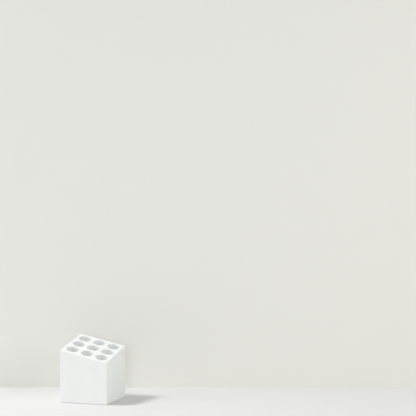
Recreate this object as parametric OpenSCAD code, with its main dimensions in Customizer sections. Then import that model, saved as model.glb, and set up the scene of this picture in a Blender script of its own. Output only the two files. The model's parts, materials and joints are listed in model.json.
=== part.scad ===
// Umbrella stand: one heavy square block, cast in stone-filled resin, with nine upright blind
// bores for umbrellas. The top is a single plane that falls diagonally, from the back left corner
// to the front right one. Each bore's floor holds a rubber disc that takes the umbrella's tip, and
// the block stands on four rubber feet let into its underside.
// Millimetres, Z up, front towards -Y, origin on the floor under the middle of the block.

/* [Block] */
// Height of the lowest corner, the front right one, above the underside
low_corner_h = 115; // [60:1:220]
// Rise of the top along each side, so the highest corner stands twice this above the lowest
side_rise = 31; // [2:1:60]
// Wall between a bore and the outside of the block
outer_wall = 9.5; // [5:0.5:20]
// Solid casting between the underside and the bottom of the disc pockets
floor_t = 12; // [6:0.5:30]
// Radius of the four upright edges
edge_r = 2.5; // [0.5:0.5:8]
// Width of the bevel along the top's edges
top_bevel = 1.5; // [0.4:0.1:2]
// Width of the bevel along the underside's edges
underside_bevel = 0.5; // [0.2:0.1:2]

/* [Bores] */
// Diameter of each bore
bore_d = 34; // [20:0.5:60]
// Wall between two neighbouring bores
web = 9.5; // [4:0.5:20]
// Width of the bevel round each bore's mouth
mouth_bevel = 0.5; // [0.2:0.1:1.5]

/* [Bore discs] */
// Thickness of the rubber disc in the floor of each bore
disc_t = 3; // [2:0.5:6]
// Ledge of casting left round each disc
disc_ledge = 1.5; // [0.5:0.5:4]
// Radial clearance between a disc and its pocket
disc_gap = 0.2; // [0.1:0.05:0.5]
// Depth of the dish that centres an umbrella's tip on the disc
dish_depth = 1; // [0.2:0.1:1.5]
// Diameter of the dish's flat middle
dish_flat_d = 8; // [3:0.5:10]
// Width of the flat ring round the dish
dish_rim = 3; // [1:0.5:4]

/* [Feet] */
// Diameter of each foot
foot_d = 18; // [8:0.5:24]
// Thickness of each foot
foot_t = 4; // [3:0.5:10]
// Height that the feet lift the block off the floor
foot_proud = 0.8; // [0.5:0.1:2.5]
// Distance from the middle of a foot to each of its two nearest sides
foot_inset = 18; // [16:0.5:40]
// Radial clearance between a foot and its recess
foot_gap = 0.2; // [0.1:0.05:0.5]
// Width of the bevel round a foot's sole
foot_bevel = 0.5; // [0.2:0.1:0.9]

/* [Hidden] */
ROWS = ["front", "middle", "back"];
COLUMNS = ["left", "centre", "right"];
ENDS = ["front", "back"];
FLANKS = ["left", "right"];
function disc_name(row, column) = str("disc_", ROWS[row], "_", COLUMNS[column]);
function foot_name(end, flank) = str("foot_", ENDS[end], "_", FLANKS[flank]);
$fn = 96;

pitch = bore_d + web;
side = 3 * bore_d + 2 * web + 2 * outer_wall;
half = side / 2;
slope = side_rise / side;
underside_z = foot_proud;
bore_floor_z = underside_z + floor_t + disc_t;
top_mid_z = underside_z + low_corner_h + side_rise;
top_z = top_mid_z + side_rise;
pocket_d = bore_d - 2 * disc_ledge;
foot_at = half - foot_inset;
// The cubes that cut away what lies beyond a plane are this long, larger than any block
beyond_size = 4 * (side + top_z);
// Cutters run this far past the faces they open
past = 1;

// Unit vectors square to the sloping top and to the underside
top_normal = [slope, -slope, 1] / norm([slope, -slope, 1]);
down = [0, 0, -1];
SIDES = [[1, 0, 0], [-1, 0, 0], [0, 1, 0], [0, -1, 0]];

function top_height(x, y) = top_mid_z - slope * x + slope * y;

// Everything on the far side of the plane through `point` that faces along `normal`
module beyond(point, normal) {
    translate(point)
        rotate([0, acos(normal[2] / norm(normal)), atan2(normal[1], normal[0])])
            translate([-beyond_size / 2, -beyond_size / 2, 0]) cube(beyond_size);
}

// Everything past the bevel, `width` wide, between the side that faces `outward` and the face with
// `face_normal`, which meet at the height `edge_z` in the middle of that side
module past_bevel(outward, face_normal, edge_z, width) {
    bevel_normal = outward + face_normal;
    depth = width * norm(bevel_normal) / 2;
    edge_point = [outward[0] * half, outward[1] * half, edge_z];
    beyond(edge_point - depth * bevel_normal / norm(bevel_normal), bevel_normal);
}

// The block's footprint, a square with four round corners
module footprint() {
    square([side - 2 * edge_r, side], center = true);
    square([side, side - 2 * edge_r], center = true);
    for (x = [-1, 1], y = [-1, 1])
        translate([x * (half - edge_r), y * (half - edge_r)]) circle(r = edge_r);
}

// A flare with the slope of the top, `mouth_bevel` wide where it meets the top plane
module mouth_flare() {
    multmatrix([[1, 0, 0, 0], [0, 1, 0, 0], [-slope, slope, 1, 0], [0, 0, 0, 1]])
        translate([0, 0, -mouth_bevel - past])
            cylinder(
                r1 = bore_d / 2 - past,
                r2 = bore_d / 2 + mouth_bevel + past,
                h = mouth_bevel + 2 * past
            );
}

module bore(x, y) {
    translate([x, y, bore_floor_z]) cylinder(d = bore_d, h = top_z);
    translate([x, y, bore_floor_z - disc_t]) cylinder(d = pocket_d, h = disc_t + past);
    translate([x, y, top_height(x, y)]) mouth_flare();
}

module foot_recess(x, y) {
    translate([x, y, underside_z - past])
        cylinder(d = foot_d + 2 * foot_gap, h = foot_t - foot_proud + past);
}

// The casting
module block() {
    color("#f2f2ef") difference() {
        translate([0, 0, underside_z]) linear_extrude(top_z) footprint();
        beyond([0, 0, top_mid_z], top_normal);
        for (outward = SIDES) {
            edge_z = top_height(outward[0] * half, outward[1] * half);
            past_bevel(outward, top_normal, edge_z, top_bevel);
            past_bevel(outward, down, underside_z, underside_bevel);
        }
        for (x = [-1:1], y = [-1:1]) bore(x * pitch, y * pitch);
        for (x = [-1, 1], y = [-1, 1]) foot_recess(x * foot_at, y * foot_at);
    }
}

// A rubber disc, dished on top, that lies in the pocket in a bore's floor
module disc(row, column) {
    disc_r = pocket_d / 2 - disc_gap;
    translate([(column - 1) * pitch, (row - 1) * pitch, bore_floor_z - disc_t])
        color("#3b3c3d") difference() {
            cylinder(r = disc_r, h = disc_t);
            translate([0, 0, disc_t - dish_depth])
                cylinder(d1 = dish_flat_d, r2 = disc_r - dish_rim, h = dish_depth);
        }
}

// A rubber foot with a bevelled sole, seated in its recess
module foot(end, flank) {
    translate([(2 * flank - 1) * foot_at, (2 * end - 1) * foot_at, 0]) color("#2c2d2e") {
        cylinder(d1 = foot_d - 2 * foot_bevel, d2 = foot_d, h = foot_bevel);
        translate([0, 0, foot_bevel]) cylinder(d = foot_d, h = foot_t - foot_bevel);
    }
}

block();
for (row = [0:2], column = [0:2])
    disc(row, column);
for (end = [0:1], flank = [0:1])
    foot(end, flank);
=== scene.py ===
import json
import math

import bmesh
import bpy
import numpy as np
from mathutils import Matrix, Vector


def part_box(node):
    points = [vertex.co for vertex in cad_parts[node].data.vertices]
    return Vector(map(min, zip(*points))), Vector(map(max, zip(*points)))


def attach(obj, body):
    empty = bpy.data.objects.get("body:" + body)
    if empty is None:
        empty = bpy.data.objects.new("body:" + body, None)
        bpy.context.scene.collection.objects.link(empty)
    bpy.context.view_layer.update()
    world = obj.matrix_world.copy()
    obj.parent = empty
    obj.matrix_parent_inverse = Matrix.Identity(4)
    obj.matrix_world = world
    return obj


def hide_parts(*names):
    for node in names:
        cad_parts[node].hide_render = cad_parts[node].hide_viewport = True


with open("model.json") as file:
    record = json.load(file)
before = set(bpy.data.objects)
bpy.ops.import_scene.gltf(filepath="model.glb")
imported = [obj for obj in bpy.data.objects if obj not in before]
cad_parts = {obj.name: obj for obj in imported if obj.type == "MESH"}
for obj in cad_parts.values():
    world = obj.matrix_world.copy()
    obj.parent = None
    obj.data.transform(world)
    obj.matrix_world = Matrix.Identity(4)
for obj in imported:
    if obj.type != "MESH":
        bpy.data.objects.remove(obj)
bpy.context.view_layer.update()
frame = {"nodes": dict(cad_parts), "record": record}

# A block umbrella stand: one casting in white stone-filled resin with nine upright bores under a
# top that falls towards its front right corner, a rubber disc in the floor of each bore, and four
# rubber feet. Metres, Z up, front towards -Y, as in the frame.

# ---------------------------------------------------------------- sizes, from the frame

block_low, block_high = (np.array(corner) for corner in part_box("block"))
HALF_SIDE = block_high[0]
UNDERSIDE_Z = block_low[2]

bore_mounts = {m["name"]: m for m in frame["record"]["mounts"] if m["kind"] == "bore"}
bore_centres = np.array([m["pos_m"][:2] for m in bore_mounts.values()])
middle_bore = bore_mounts["umbrella_bore_middle_centre"]
right_bore = bore_mounts["umbrella_bore_middle_right"]
BORE_R = middle_bore["dims"]["r_mm"] / 1000
BORE_FLOOR_Z = middle_bore["pos_m"][2]
BORE_PITCH = right_bore["pos_m"][0] - middle_bore["pos_m"][0]
# The walls of two neighbouring bores differ in length by the top's fall over one pitch
SLOPE = (middle_bore["dims"]["length_mm"] - right_bore["dims"]["length_mm"]) / 1000 / BORE_PITCH
MOUTH_BEVEL = 0.0005
# A bore's wall is longest at the rim point that lies straight uphill of its axis
MIDDLE_H = (
    BORE_FLOOR_Z + middle_bore["dims"]["length_mm"] / 1000
    - SLOPE * BORE_R * math.sqrt(2) + MOUTH_BEVEL
)

DISC_NODES = sorted(n for n in frame["nodes"] if n.startswith("disc_"))
FOOT_NODES = sorted(n for n in frame["nodes"] if n.startswith("foot_"))


def round_piece(node):
    """The centre line, radius, lowest and highest level of an upright round CAD node."""
    low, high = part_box(node)
    return (
        np.array([(low.x + high.x) / 2, (low.y + high.y) / 2]),
        (high.y - low.y) / 2,
        low.z,
        high.z,
    )


_, DISC_R, DISC_LOW, DISC_HIGH = round_piece(DISC_NODES[0])
_, FOOT_R, FOOT_LOW, FOOT_HIGH = round_piece(FOOT_NODES[0])
foot_centres = np.array([round_piece(n)[0] for n in FOOT_NODES])
GLUE_GAP = 0.0002

# Fillets of the casting
CORNER_R = 0.0025
TOP_EDGE_R = 0.0020
BOTTOM_EDGE_R = 0.0005
MOUTH_R = 0.0007
BORE_ROOT_R = 0.0009
POCKET_EDGE_R = 0.0003
RECESS_EDGE_R = 0.0004
# A narrow level band beside each fillet keeps the shading of the flat faces flat
BAND = 0.0004
# Rows close to both ends of a wall do the same for the wall, as shares of its height
WALL_END = 0.004
# Faces across a fillet
STEPS = 6
TOP_EDGE_STEPS = 8
ROOT_STEPS = 4
FINE_STEPS = 3
# Umbrellas rub this share of a bore's wall, from the mouth down, less and less
RUBBED_SHARE = 0.25

# ---------------------------------------------------------------- surfaces


def deck(xy):
    """Height of the sloping top over the points xy.

    It is the height over the middle, plus y less x, times the slope.
    """
    return MIDDLE_H + SLOPE * (xy[..., 1] - xy[..., 0])


def arc(radius, start, stop, steps=STEPS):
    """(cos, sin) times radius at equal steps of angle, in degrees, both ends included."""
    angle = np.radians(np.linspace(start, stop, steps + 1))
    return radius * np.stack([np.cos(angle), np.sin(angle)], axis=-1)


# Points along one side of a square outline: each end's corner, then the stretch to the first web
CORNER_CUTS = 8
OUTER_CUTS = 24
MIDDLE_CUTS = 32
SIDE_CUTS = 2 * (CORNER_CUTS + OUTER_CUTS) + MIDDLE_CUTS


def side_line(inset):
    """Coordinates along one side of the square that lies `inset` inside the block's outline.

    They run from -a to a, where a is half the side less the inset, with even cuts between a and the
    corner arc's end, between there and the middle of the web, and between the two webs.
    """
    reach = HALF_SIDE - inset
    core = HALF_SIDE - CORNER_R
    half = np.concatenate([
        np.linspace(-reach, -core, CORNER_CUTS + 1)[:-1],
        np.linspace(-core, -BORE_PITCH / 2, OUTER_CUTS + 1)[:-1],
        np.linspace(-BORE_PITCH / 2, 0, MIDDLE_CUTS // 2 + 1),
    ])
    return np.concatenate([half, -half[-2::-1]])


def round_corners(xy):
    """Pushes the points of nested squares onto nested squares with round corners.

    A point beyond the core square keeps its direction from the nearest core point, and its
    distance from it becomes the larger of its two offsets.
    """
    core = HALF_SIDE - CORNER_R
    near = np.clip(xy, -core, core)
    off = xy - near
    length = np.hypot(off[..., 0], off[..., 1])
    larger = np.abs(off).max(axis=-1)
    scale = np.divide(larger, length, out=np.ones_like(length), where=length > 0)
    return near + off * scale[..., None]


def square_loop(xs, ys):
    """The border of the grid xs by ys as one counterclockwise loop of points."""
    return np.concatenate([
        np.stack([xs[:-1], np.full(len(xs) - 1, ys[0])], axis=-1),
        np.stack([np.full(len(ys) - 1, xs[-1]), ys[:-1]], axis=-1),
        np.stack([xs[:0:-1], np.full(len(xs) - 1, ys[-1])], axis=-1),
        np.stack([np.full(len(ys) - 1, xs[0]), ys[:0:-1]], axis=-1),
    ])


def outline(inset):
    """The block's outline in plan, moved inwards by `inset`."""
    line = side_line(inset)
    return round_corners(square_loop(line, line))


def with_height(xy, z, rub=0.0):
    """Points in space from plan points and their heights, with how much use has rubbed them, 0 to 1."""
    columns = [np.broadcast_to(value, xy.shape[:-1])[..., None] for value in (z, rub)]
    return np.concatenate([xy, *columns], axis=-1)


class Skin:
    """Collects rings of points, each joined to the next by quads, into one closed mesh."""

    def __init__(self):
        self.points, self.quads, self.fans, self.count = [], [], [], 0

    def rings(self, rings):
        """Joins closed rings, given as rows by points by (x, y, z, rub), each to the next one."""
        rows, around = rings.shape[:2]
        index = self.count + np.arange(rows * around).reshape(rows, around)
        after = np.roll(index, -1, axis=1)
        self.quads.append(
            np.stack([index[:-1], after[:-1], after[1:], index[1:]], axis=-1).reshape(-1, 4)
        )
        self.points.append(rings.reshape(-1, 4))
        self.count += rows * around

    def fan(self, ring, middle):
        """Closes a ring with triangles to one middle point."""
        around = len(ring)
        index = self.count + np.arange(around)
        self.fans.append(
            np.stack([index, np.roll(index, -1), np.full(around, self.count + around)], axis=-1)
        )
        self.points.append(np.concatenate([ring, [[*middle, 0.0]]]))
        self.count += around + 1

    def mesh(self, name, sharp=math.radians(40)):
        """The mesh, with seams merged, faces outwards and edges over the angle `sharp` left crisp."""
        mesh = bpy.data.meshes.new(name)
        faces = [q for part in self.quads + self.fans for q in part.tolist()]
        points = np.concatenate(self.points)
        mesh.from_pydata(points[:, :3].tolist(), [], faces)
        mesh.attributes.new("rub", "FLOAT", "POINT").data.foreach_set("value", points[:, 3])
        work = bmesh.new()
        work.from_mesh(mesh)
        bmesh.ops.remove_doubles(work, verts=work.verts, dist=2e-6)
        bmesh.ops.recalc_face_normals(work, faces=work.faces)
        work.to_mesh(mesh)
        work.free()
        mesh.shade_smooth()
        mesh.set_sharp_from_angle(angle=sharp)
        return mesh


def add_piece(mesh, material, nodes):
    """A finished piece that rides with the stand and takes the place of the CAD nodes."""
    piece = bpy.data.objects.new(mesh.name, mesh)
    bpy.context.scene.collection.objects.link(piece)
    mesh.materials.append(material)
    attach(piece, "root")
    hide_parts(*nodes)
    return piece


# ---------------------------------------------------------------- the casting


def outer_skin(skin):
    """Carries the profile of the block's side round its outline.

    The profile is the edge of the top, a quarter arc, the upright wall, a quarter arc and the edge of
    the underside. Its upper part follows the slope of the top, and the wall takes up the difference.
    """
    plan = outline(TOP_EDGE_R + BAND)
    rows = [with_height(plan, deck(plan))]
    for across, up in arc(TOP_EDGE_R, 90, 0, TOP_EDGE_STEPS):
        plan = outline(TOP_EDGE_R - across)
        # The sine of twice the angle: most rubbed half way round the edge
        rub = 2 * across * up / TOP_EDGE_R**2
        rows.append(with_height(plan, deck(plan) - TOP_EDGE_R + up, rub))
    plan = outline(0)
    wall_top = deck(plan) - TOP_EDGE_R
    wall_foot = UNDERSIDE_Z + BOTTOM_EDGE_R
    for share in np.concatenate([[WALL_END], np.linspace(0.08, 0.92, 10), [1 - WALL_END]]):
        rows.append(with_height(plan, wall_top + share * (wall_foot - wall_top)))
    for across, down in arc(BOTTOM_EDGE_R, 0, 90):
        rows.append(with_height(outline(BOTTOM_EDGE_R - across), wall_foot - down, 1.0))
    rows.append(with_height(outline(BOTTOM_EDGE_R + BAND), UNDERSIDE_Z))
    skin.rings(np.stack(rows))


def cells(cuts, inset):
    """The middles and plan loops of the patches between cut lines, out to the outline.

    `cuts` are places in side_line() where one patch ends and the next begins.
    """
    line = side_line(inset)
    for low_x, high_x in zip(cuts[:-1], cuts[1:]):
        for low_y, high_y in zip(cuts[:-1], cuts[1:]):
            loop = square_loop(line[low_x:high_x + 1], line[low_y:high_y + 1])
            middle = (loop.min(axis=0) + loop.max(axis=0)) / 2
            yield middle, round_corners(loop)


def spokes(loop, centre):
    """Unit vectors in plan from a centre to the points of a loop."""
    away = loop - centre
    return away / np.hypot(away[:, 0], away[:, 1])[:, None]


def bore_skin(skin, loop, centre):
    """One patch of the top with its bore.

    From the patch's border straight in to the mouth's fillet, a quarter arc, down the wall, a
    quarter arc to the ledge, over the ledge's edge and down the disc's pocket to its floor.
    """
    way = spokes(loop, centre)

    def ring(radius):
        return centre + radius * way

    rows = [with_height(loop, deck(loop))]
    level = ring(BORE_R + MOUTH_R + BAND)
    rows.append(with_height(level, deck(level)))
    for across, up in arc(MOUTH_R, 90, 180):
        plan = ring(BORE_R + MOUTH_R + across)
        rows.append(with_height(plan, deck(plan) - MOUTH_R + up, 1.0))
    plan = ring(BORE_R)
    wall_top = deck(plan) - MOUTH_R
    wall_foot = BORE_FLOOR_Z + BORE_ROOT_R
    for share in np.concatenate([[WALL_END], np.linspace(0.05, 0.95, 13), [0.994]]):
        rub = max(0.0, 1 - share / RUBBED_SHARE)
        rows.append(with_height(plan, wall_top + share * (wall_foot - wall_top), rub))
    for across, down in arc(BORE_ROOT_R, 0, 90, ROOT_STEPS):
        rows.append(with_height(ring(BORE_R - BORE_ROOT_R + across), wall_foot - down))
    pocket_r = DISC_R + GLUE_GAP
    for across, up in arc(POCKET_EDGE_R, 90, 180, FINE_STEPS):
        plan = ring(pocket_r + POCKET_EDGE_R + across)
        rows.append(with_height(plan, BORE_FLOOR_Z - POCKET_EDGE_R + up))
    rows.append(with_height(ring(pocket_r), DISC_LOW))
    skin.rings(np.stack(rows))
    skin.fan(rows[-1], [*centre, DISC_LOW])


def recess_skin(skin, loop, centre):
    """One patch of the underside with the recess that holds a foot."""
    way = spokes(loop, centre)
    recess_r = FOOT_R + GLUE_GAP
    rows = [with_height(loop, UNDERSIDE_Z)]
    rows.append(with_height(centre + (recess_r + RECESS_EDGE_R + BAND) * way, UNDERSIDE_Z))
    for across, up in arc(RECESS_EDGE_R, 90, 180, FINE_STEPS):
        plan = centre + (recess_r + RECESS_EDGE_R + across) * way
        rows.append(with_height(plan, UNDERSIDE_Z + RECESS_EDGE_R - up))
    rows.append(with_height(centre + recess_r * way, FOOT_HIGH))
    skin.rings(np.stack(rows))
    skin.fan(rows[-1], [*centre, FOOT_HIGH])


def nearest(points, place):
    """The point that lies nearest to a place."""
    return points[np.hypot(*(points - place).T).argmin()]


def casting():
    """The cast block: its outer skin, nine patches of the top with their bores, and the underside."""
    skin = Skin()
    outer_skin(skin)
    first_web = CORNER_CUTS + OUTER_CUTS
    web_cuts = [0, first_web, first_web + MIDDLE_CUTS, SIDE_CUTS]
    for middle, loop in cells(web_cuts, TOP_EDGE_R + BAND):
        bore_skin(skin, loop, nearest(bore_centres, middle))
    for middle, loop in cells([0, SIDE_CUTS // 2, SIDE_CUTS], BOTTOM_EDGE_R + BAND):
        recess_skin(skin, loop, nearest(foot_centres, middle))
    return skin.mesh("cast_block")


# ---------------------------------------------------------------- the rubber pieces

TURNED_CUTS = 72

DISC_EDGE_R = 0.0005
DISC_RING = {"inset": 0.0016, "width": 0.0009, "depth": 0.00035}
DISH_INSET = 0.003
DISH_FLAT_R = 0.004
DISH_DEPTH = 0.001
DISH_CUTS = 8

FOOT_EDGE_R = 0.0006
FOOT_BACK_EDGE_R = 0.0003
FOOT_RING = {"inset": 0.0032, "width": 0.0014, "depth": 0.0005}
DIMPLE_FLOOR_R = 0.0009
DIMPLE_R = 0.0013
DIMPLE_DEPTH = 0.0003


def turned(name, profile, centre):
    """A solid of revolution about an upright axis, from its (radius, height) profile, axis to axis."""
    angle = np.linspace(0, 2 * math.pi, TURNED_CUTS, endpoint=False)
    way = np.stack([np.cos(angle), np.sin(angle)], axis=-1)
    inner = np.array(profile[1:-1])
    plan = centre + inner[:, 0][:, None, None] * way
    rings = with_height(plan, inner[:, 1][:, None])
    skin = Skin()
    skin.rings(rings)
    skin.fan(rings[0], [*centre, profile[0][1]])
    skin.fan(rings[-1], [*centre, profile[-1][1]])
    return skin.mesh(name)


def groove(radius, level, width, depth, steps=6):
    """Points of a shallow round-bottomed ring groove: depth times a raised cosine across its width."""
    share = np.linspace(-0.5, 0.5, steps + 1)
    drop = depth * (0.5 + 0.5 * np.cos(2 * math.pi * share))
    return np.stack([radius - share * width, level - drop], axis=-1)


def disc_profile():
    """A flat-backed disc with a rounded rim, a ring groove on its flat ring and a dished middle.

    The dish falls as half a wave of a cosine, from its rim to a small flat.
    """
    edge = DISC_EDGE_R
    dish_r = DISC_R - DISH_INSET
    under = [(0, DISC_LOW), (DISC_R - edge, DISC_LOW)]
    rim = [(DISC_R - edge + c, DISC_LOW + edge - s) for c, s in arc(edge, 90, 0, FINE_STEPS)]
    rim += [(DISC_R - edge + c, DISC_HIGH - edge + s) for c, s in arc(edge, 0, 90, ROOT_STEPS)]
    ring = [
        tuple(p)
        for p in groove(DISC_R - DISC_RING["inset"], DISC_HIGH, DISC_RING["width"], DISC_RING["depth"])
    ]
    share = np.linspace(0, 1, DISH_CUTS + 1)
    fall = DISH_DEPTH * (0.5 - 0.5 * np.cos(math.pi * share))
    dish = list(zip(dish_r + (DISH_FLAT_R - dish_r) * share, DISC_HIGH - fall))
    return under + rim + ring + dish + [(0, DISC_HIGH - DISH_DEPTH)]


def foot_profile():
    """A foot with a rounded sole edge, a ring groove and a small moulding dimple in its sole."""
    edge = FOOT_EDGE_R
    back_edge = FOOT_BACK_EDGE_R
    dimple_z = FOOT_LOW + DIMPLE_DEPTH
    dimple = [(0, dimple_z), (DIMPLE_FLOOR_R, dimple_z), (DIMPLE_R, FOOT_LOW)]
    ring = groove(FOOT_R - FOOT_RING["inset"], 0, FOOT_RING["width"], FOOT_RING["depth"])[::-1]
    ring = [(r, FOOT_LOW - z) for r, z in ring]
    sole = [(FOOT_R - edge + c, FOOT_LOW + edge - s) for c, s in arc(edge, 90, 0, ROOT_STEPS)]
    back = [(FOOT_R - back_edge + c, FOOT_HIGH - back_edge + s) for c, s in arc(back_edge, 0, 90, 2)]
    return dimple + ring + sole + back + [(0, FOOT_HIGH)]


# ---------------------------------------------------------------- finishes


class Finish:
    """A material under construction, with short calls for its nodes."""

    def __init__(self, name):
        self.material = bpy.data.materials.new(name)
        self.material.use_nodes = True
        self.tree = self.material.node_tree
        self.shader = self.tree.nodes["Principled BSDF"]
        self.place = self.add("ShaderNodeTexCoord").outputs["Object"]

    def add(self, kind, inputs=None, **settings):
        """One node with its settings and inputs; an input is a value or another node's output."""
        node = self.tree.nodes.new(kind)
        for key, value in settings.items():
            setattr(node, key, value)
        for key, value in (inputs or {}).items():
            self.feed(node.inputs[key], value)
        return node

    def feed(self, socket, value):
        if isinstance(value, bpy.types.NodeSocket):
            self.tree.links.new(value, socket)
        else:
            socket.default_value = value

    def noise(self, scale, detail=2.0, roughness=0.5, place=None):
        """Smooth noise from 0 to 1, with `scale` bumps to the metre."""
        inputs = {"Vector": place or self.place, "Scale": scale}
        inputs |= {"Detail": detail, "Roughness": roughness}
        return self.add("ShaderNodeTexNoise", inputs).outputs["Fac"]

    def painted(self, name):
        """The value that the mesh carries under this name."""
        return self.add("ShaderNodeAttribute", attribute_name=name).outputs["Fac"]

    def stretched(self, factors):
        """The place with each of its axes multiplied by a factor."""
        return self.add("ShaderNodeMapping", {"Vector": self.place, "Scale": factors}).outputs["Vector"]

    def dots(self, scale, radius):
        """1 in round dots of this radius and 0 outside, with `scale` dots to the metre."""
        cell = self.add("ShaderNodeTexVoronoi", {"Vector": self.place, "Scale": scale})
        return self.spread(cell.outputs["Distance"], 0.6 * radius * scale, radius * scale, 1, 0)

    def spread(self, value, low, high, to_low=0.0, to_high=1.0):
        """The range low to high of a value, mapped to to_low to to_high and held there beyond it."""
        inputs = {0: value, 1: low, 2: high, 3: to_low, 4: to_high}
        return self.add("ShaderNodeMapRange", inputs, clamp=True).outputs[0]

    def math(self, operation, first, second=0.0):
        return self.add("ShaderNodeMath", {0: first, 1: second}, operation=operation).outputs[0]

    def blend(self, share, first, second):
        """A colour between two colours."""
        node = self.add("ShaderNodeMix", data_type="RGBA")
        colours = [s for s in node.inputs if s.type == "RGBA"]
        self.feed(node.inputs[0], share)
        self.feed(colours[0], first)
        self.feed(colours[1], second)
        return next(s for s in node.outputs if s.type == "RGBA")

    def tinted(self, colour, where, share, tint):
        """A colour moved towards a tint by this share, where `where` is 1."""
        return self.blend(self.math("MULTIPLY", where, share), colour, (*tint, 1))

    def bump(self, height, distance, strength=1.0, onto=None):
        """Surface relief from a height of 0 to 1, `distance` metres deep."""
        inputs = {"Height": height, "Distance": distance, "Strength": strength}
        if onto:
            inputs["Normal"] = onto
        return self.add("ShaderNodeBump", inputs).outputs["Normal"]

    def finish(self, **sockets):
        """Sets the shader's own sockets and returns the material."""
        for name, value in sockets.items():
            self.feed(self.shader.inputs[name.replace("_", " ")], value)
        return self.material


def cast_resin():
    """White resin filled with stone powder.

    Matt, with faint clouding, fine grain, sparse flecks and pinholes, and where umbrellas and hands
    rub it, smoother, with thin grey scuffs.
    """
    f = Finish("cast_resin_white")
    rubbed = f.painted("rub")
    clouds = f.spread(f.noise(22, 3), 0.3, 0.7)
    grain = f.spread(f.noise(1500, 3, 0.6), 0.25, 0.75)
    flecks = f.math("MULTIPLY", f.dots(230, 0.0007), f.spread(f.noise(90, 1), 0.54, 0.62))
    specks = f.math("MULTIPLY", f.dots(640, 0.00022), f.spread(f.noise(200, 1), 0.50, 0.60))
    pinholes = f.math("MULTIPLY", f.dots(150, 0.00035), f.spread(f.noise(40, 1), 0.52, 0.58))
    scuffs = f.spread(f.noise(420, 3, 0.6, f.stretched((1, 1, 0.09))), 0.50, 0.68)
    scuffs = f.math("MULTIPLY", scuffs, rubbed)

    colour = f.blend(clouds, (0.852, 0.868, 0.868, 1), (0.886, 0.899, 0.896, 1))
    colour = f.tinted(colour, grain, 0.45, (0.806, 0.815, 0.812))
    colour = f.tinted(colour, flecks, 0.45, (0.64, 0.635, 0.62))
    colour = f.tinted(colour, specks, 0.5, (0.42, 0.415, 0.40))
    colour = f.tinted(colour, scuffs, 0.10, (0.60, 0.595, 0.58))
    colour = f.tinted(colour, pinholes, 0.35, (0.50, 0.50, 0.49))

    rough = f.spread(f.noise(180, 2), 0.3, 0.7, 0.56, 0.68)
    rough = f.math("SUBTRACT", rough, f.math("MULTIPLY", rubbed, 0.14))

    relief = f.bump(f.noise(60, 2), 0.00016, 0.45)
    relief = f.bump(grain, 0.00003, 0.5, relief)
    relief = f.bump(f.math("SUBTRACT", 1.0, pinholes), 0.0002, 0.8, relief)
    return f.finish(Base_Color=colour, Roughness=rough, Normal=relief)


DUST_COLOUR = (0.30, 0.29, 0.27)


def moulded_rubber(name, colour, dust):
    """Dark moulded rubber: matt, finely pitted, with paler dust where the noise gathers it."""
    f = Finish(name)
    pits = f.noise(2600, 2, 0.6)
    gathered = f.spread(f.noise(300, 4, 0.6), 0.48, 0.72)
    tint = f.tinted((*colour, 1), gathered, dust, DUST_COLOUR)
    rough = f.spread(gathered, 0, 1, 0.62, 0.88)
    relief = f.bump(pits, 0.00004, 0.6)
    return f.finish(Base_Color=tint, Roughness=rough, Normal=relief)


# ---------------------------------------------------------------- the stand


def stand():
    """The casting, a disc in each bore and a foot in each recess."""
    disc_rubber = moulded_rubber("disc_rubber_grey", (0.260, 0.262, 0.264), 0.50)
    foot_rubber = moulded_rubber("foot_rubber_black", (0.034, 0.035, 0.036), 0.25)
    add_piece(casting(), cast_resin(), ["block"])
    for node in DISC_NODES:
        disc = turned(f"bore_{node}", disc_profile(), round_piece(node)[0])
        add_piece(disc, disc_rubber, [node])
    for node in FOOT_NODES:
        foot = turned(f"rubber_{node}", foot_profile(), round_piece(node)[0])
        add_piece(foot, foot_rubber, [node])


# ---------------------------------------------------------------- camera

CAMERA_AT = Vector((1.2314, -2.8563, 0.5430))
CAMERA_TURN = math.radians(17.32)
LENS = 94.49
SENSOR_WIDTH = 36
SIGHT_END = 50
CAMERA_RIGHT = Vector((math.cos(CAMERA_TURN), math.sin(CAMERA_TURN), 0))
CAMERA_AHEAD = Vector((-math.sin(CAMERA_TURN), math.cos(CAMERA_TURN), 0))


def set_camera():
    """A level camera, turned about the upright axis."""
    camera = bpy.data.objects.new("camera", bpy.data.cameras.new("camera"))
    bpy.context.scene.collection.objects.link(camera)
    camera.location = CAMERA_AT
    camera.rotation_euler = (math.radians(90), 0, CAMERA_TURN)
    camera.data.lens = LENS
    camera.data.sensor_width = SENSOR_WIDTH
    camera.data.clip_end = SIGHT_END
    bpy.context.scene.camera = camera


# ---------------------------------------------------------------- floor and wall

WALL_BEHIND = 0.213
ROOM_REACH = 4.0
ROOM_HEIGHT = 2.6
ROOM_ROUGHNESS = 0.9
ROOM_GLOSS = 0.1
FLOOR_COLOUR = (0.755, 0.753, 0.748, 1)
WALL_COLOUR = (0.84, 0.84, 0.805, 1)


def one_sided(name, colour):
    """A plain matt surface that is clear from behind, so that it never hides the stand."""
    f = Finish(name)
    f.finish(Base_Color=colour, Roughness=ROOM_ROUGHNESS, Specular_IOR_Level=ROOM_GLOSS)
    clear = f.add("ShaderNodeBsdfTransparent")
    behind = f.add("ShaderNodeNewGeometry").outputs["Backfacing"]
    both = f.add("ShaderNodeMixShader", {0: behind, 1: f.shader.outputs[0], 2: clear.outputs[0]})
    f.tree.links.new(both.outputs[0], f.tree.nodes["Material Output"].inputs["Surface"])
    return f.material


def room_face(name, corners, material):
    """One flat face of the room, which isn't part of the stand."""
    mesh = bpy.data.meshes.new(name)
    mesh.from_pydata([tuple(c) for c in corners], [], [(0, 1, 2, 3)])
    face = bpy.data.objects.new(name, mesh)
    bpy.context.scene.collection.objects.link(face)
    mesh.materials.append(material)


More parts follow.
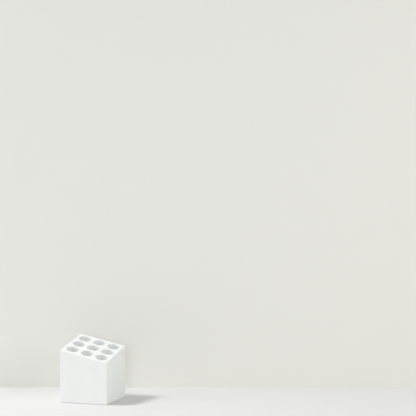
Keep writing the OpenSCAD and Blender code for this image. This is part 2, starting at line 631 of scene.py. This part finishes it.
def set_room():
    """The floor, and a wall behind the stand that faces the camera."""
    foot = CAMERA_AHEAD * WALL_BEHIND
    front = foot - CAMERA_AHEAD * 2 * ROOM_REACH
    aside = CAMERA_RIGHT * ROOM_REACH
    up = Vector((0, 0, ROOM_HEIGHT))
    floor_corners = [front - aside, front + aside, foot + aside, foot - aside]
    room_face("floor", floor_corners, one_sided("floor_pale", FLOOR_COLOUR))
    wall_corners = [foot - aside, foot + aside, foot + aside + up, foot - aside + up]
    room_face("wall", wall_corners, one_sided("wall_pale", WALL_COLOUR))


# ---------------------------------------------------------------- light

ROOM_LIGHT = 0.30
SURROUND_COLOUR = (1.0, 1.0, 0.99, 1)
BACKDROP_COLOUR = (0.82, 0.82, 0.79, 1)
# Each lamp: which way it lies from the stand, as (right, ahead, up) seen from the camera, its
# distance, its width, the brightness that it alone gives a white surface that faces it, its tint
LAMPS = {
    "key": ((-0.562, -0.025, 0.827), 4.5, 1.15, 0.600, (1.0, 1.0, 1.0)),
    "fill_front": ((0.02, -0.97, 0.18), 4.0, 1.3, 0.182, (0.99, 1.0, 1.0)),
    "fill_left": ((-0.88, -0.20, 0.42), 4.0, 2.4, 0.150, (1.0, 1.0, 1.0)),
    "fill_right": ((0.75, -0.55, 0.35), 4.0, 2.4, 0.240, (1.0, 1.0, 0.950)),
}


def lamp(name, way, distance, width, brightness, tint):
    """A round soft lamp that faces the middle of the stand.

    A lamp of P watts gives a white surface at distance d the brightness P / (pi d) squared.
    """
    data = bpy.data.lights.new(name, "AREA")
    data.shape = "DISK"
    data.size = width
    data.energy = brightness * (math.pi * distance) ** 2
    data.color = tint
    light = bpy.data.objects.new(name, data)
    bpy.context.scene.collection.objects.link(light)
    right, ahead, up = way
    direction = (CAMERA_RIGHT * right + CAMERA_AHEAD * ahead + Vector((0, 0, up))).normalized()
    light.location = direction * distance + Vector((0, 0, MIDDLE_H / 2))
    light.rotation_euler = (-direction).to_track_quat("-Z", "Y").to_euler()


def set_surround():
    """An even white surround that lights the stand, and a backdrop that only the camera sees."""
    world = bpy.data.worlds.new("studio")
    bpy.context.scene.world = world
    world.use_nodes = True
    links, nodes = world.node_tree.links, world.node_tree.nodes
    surround = nodes["Background"]
    surround.inputs["Color"].default_value = SURROUND_COLOUR
    surround.inputs["Strength"].default_value = ROOM_LIGHT
    backdrop = nodes.new("ShaderNodeBackground")
    backdrop.inputs["Color"].default_value = BACKDROP_COLOUR
    path = nodes.new("ShaderNodeLightPath")
    choose = nodes.new("ShaderNodeMixShader")
    links.new(path.outputs["Is Camera Ray"], choose.inputs[0])
    links.new(surround.outputs[0], choose.inputs[1])
    links.new(backdrop.outputs[0], choose.inputs[2])
    links.new(choose.outputs[0], nodes["World Output"].inputs["Surface"])


stand()
set_camera()
set_room()
for lamp_name, lamp_facts in LAMPS.items():
    lamp(lamp_name, *lamp_facts)
set_surround()
bpy.context.scene.view_settings.view_transform = "Standard"
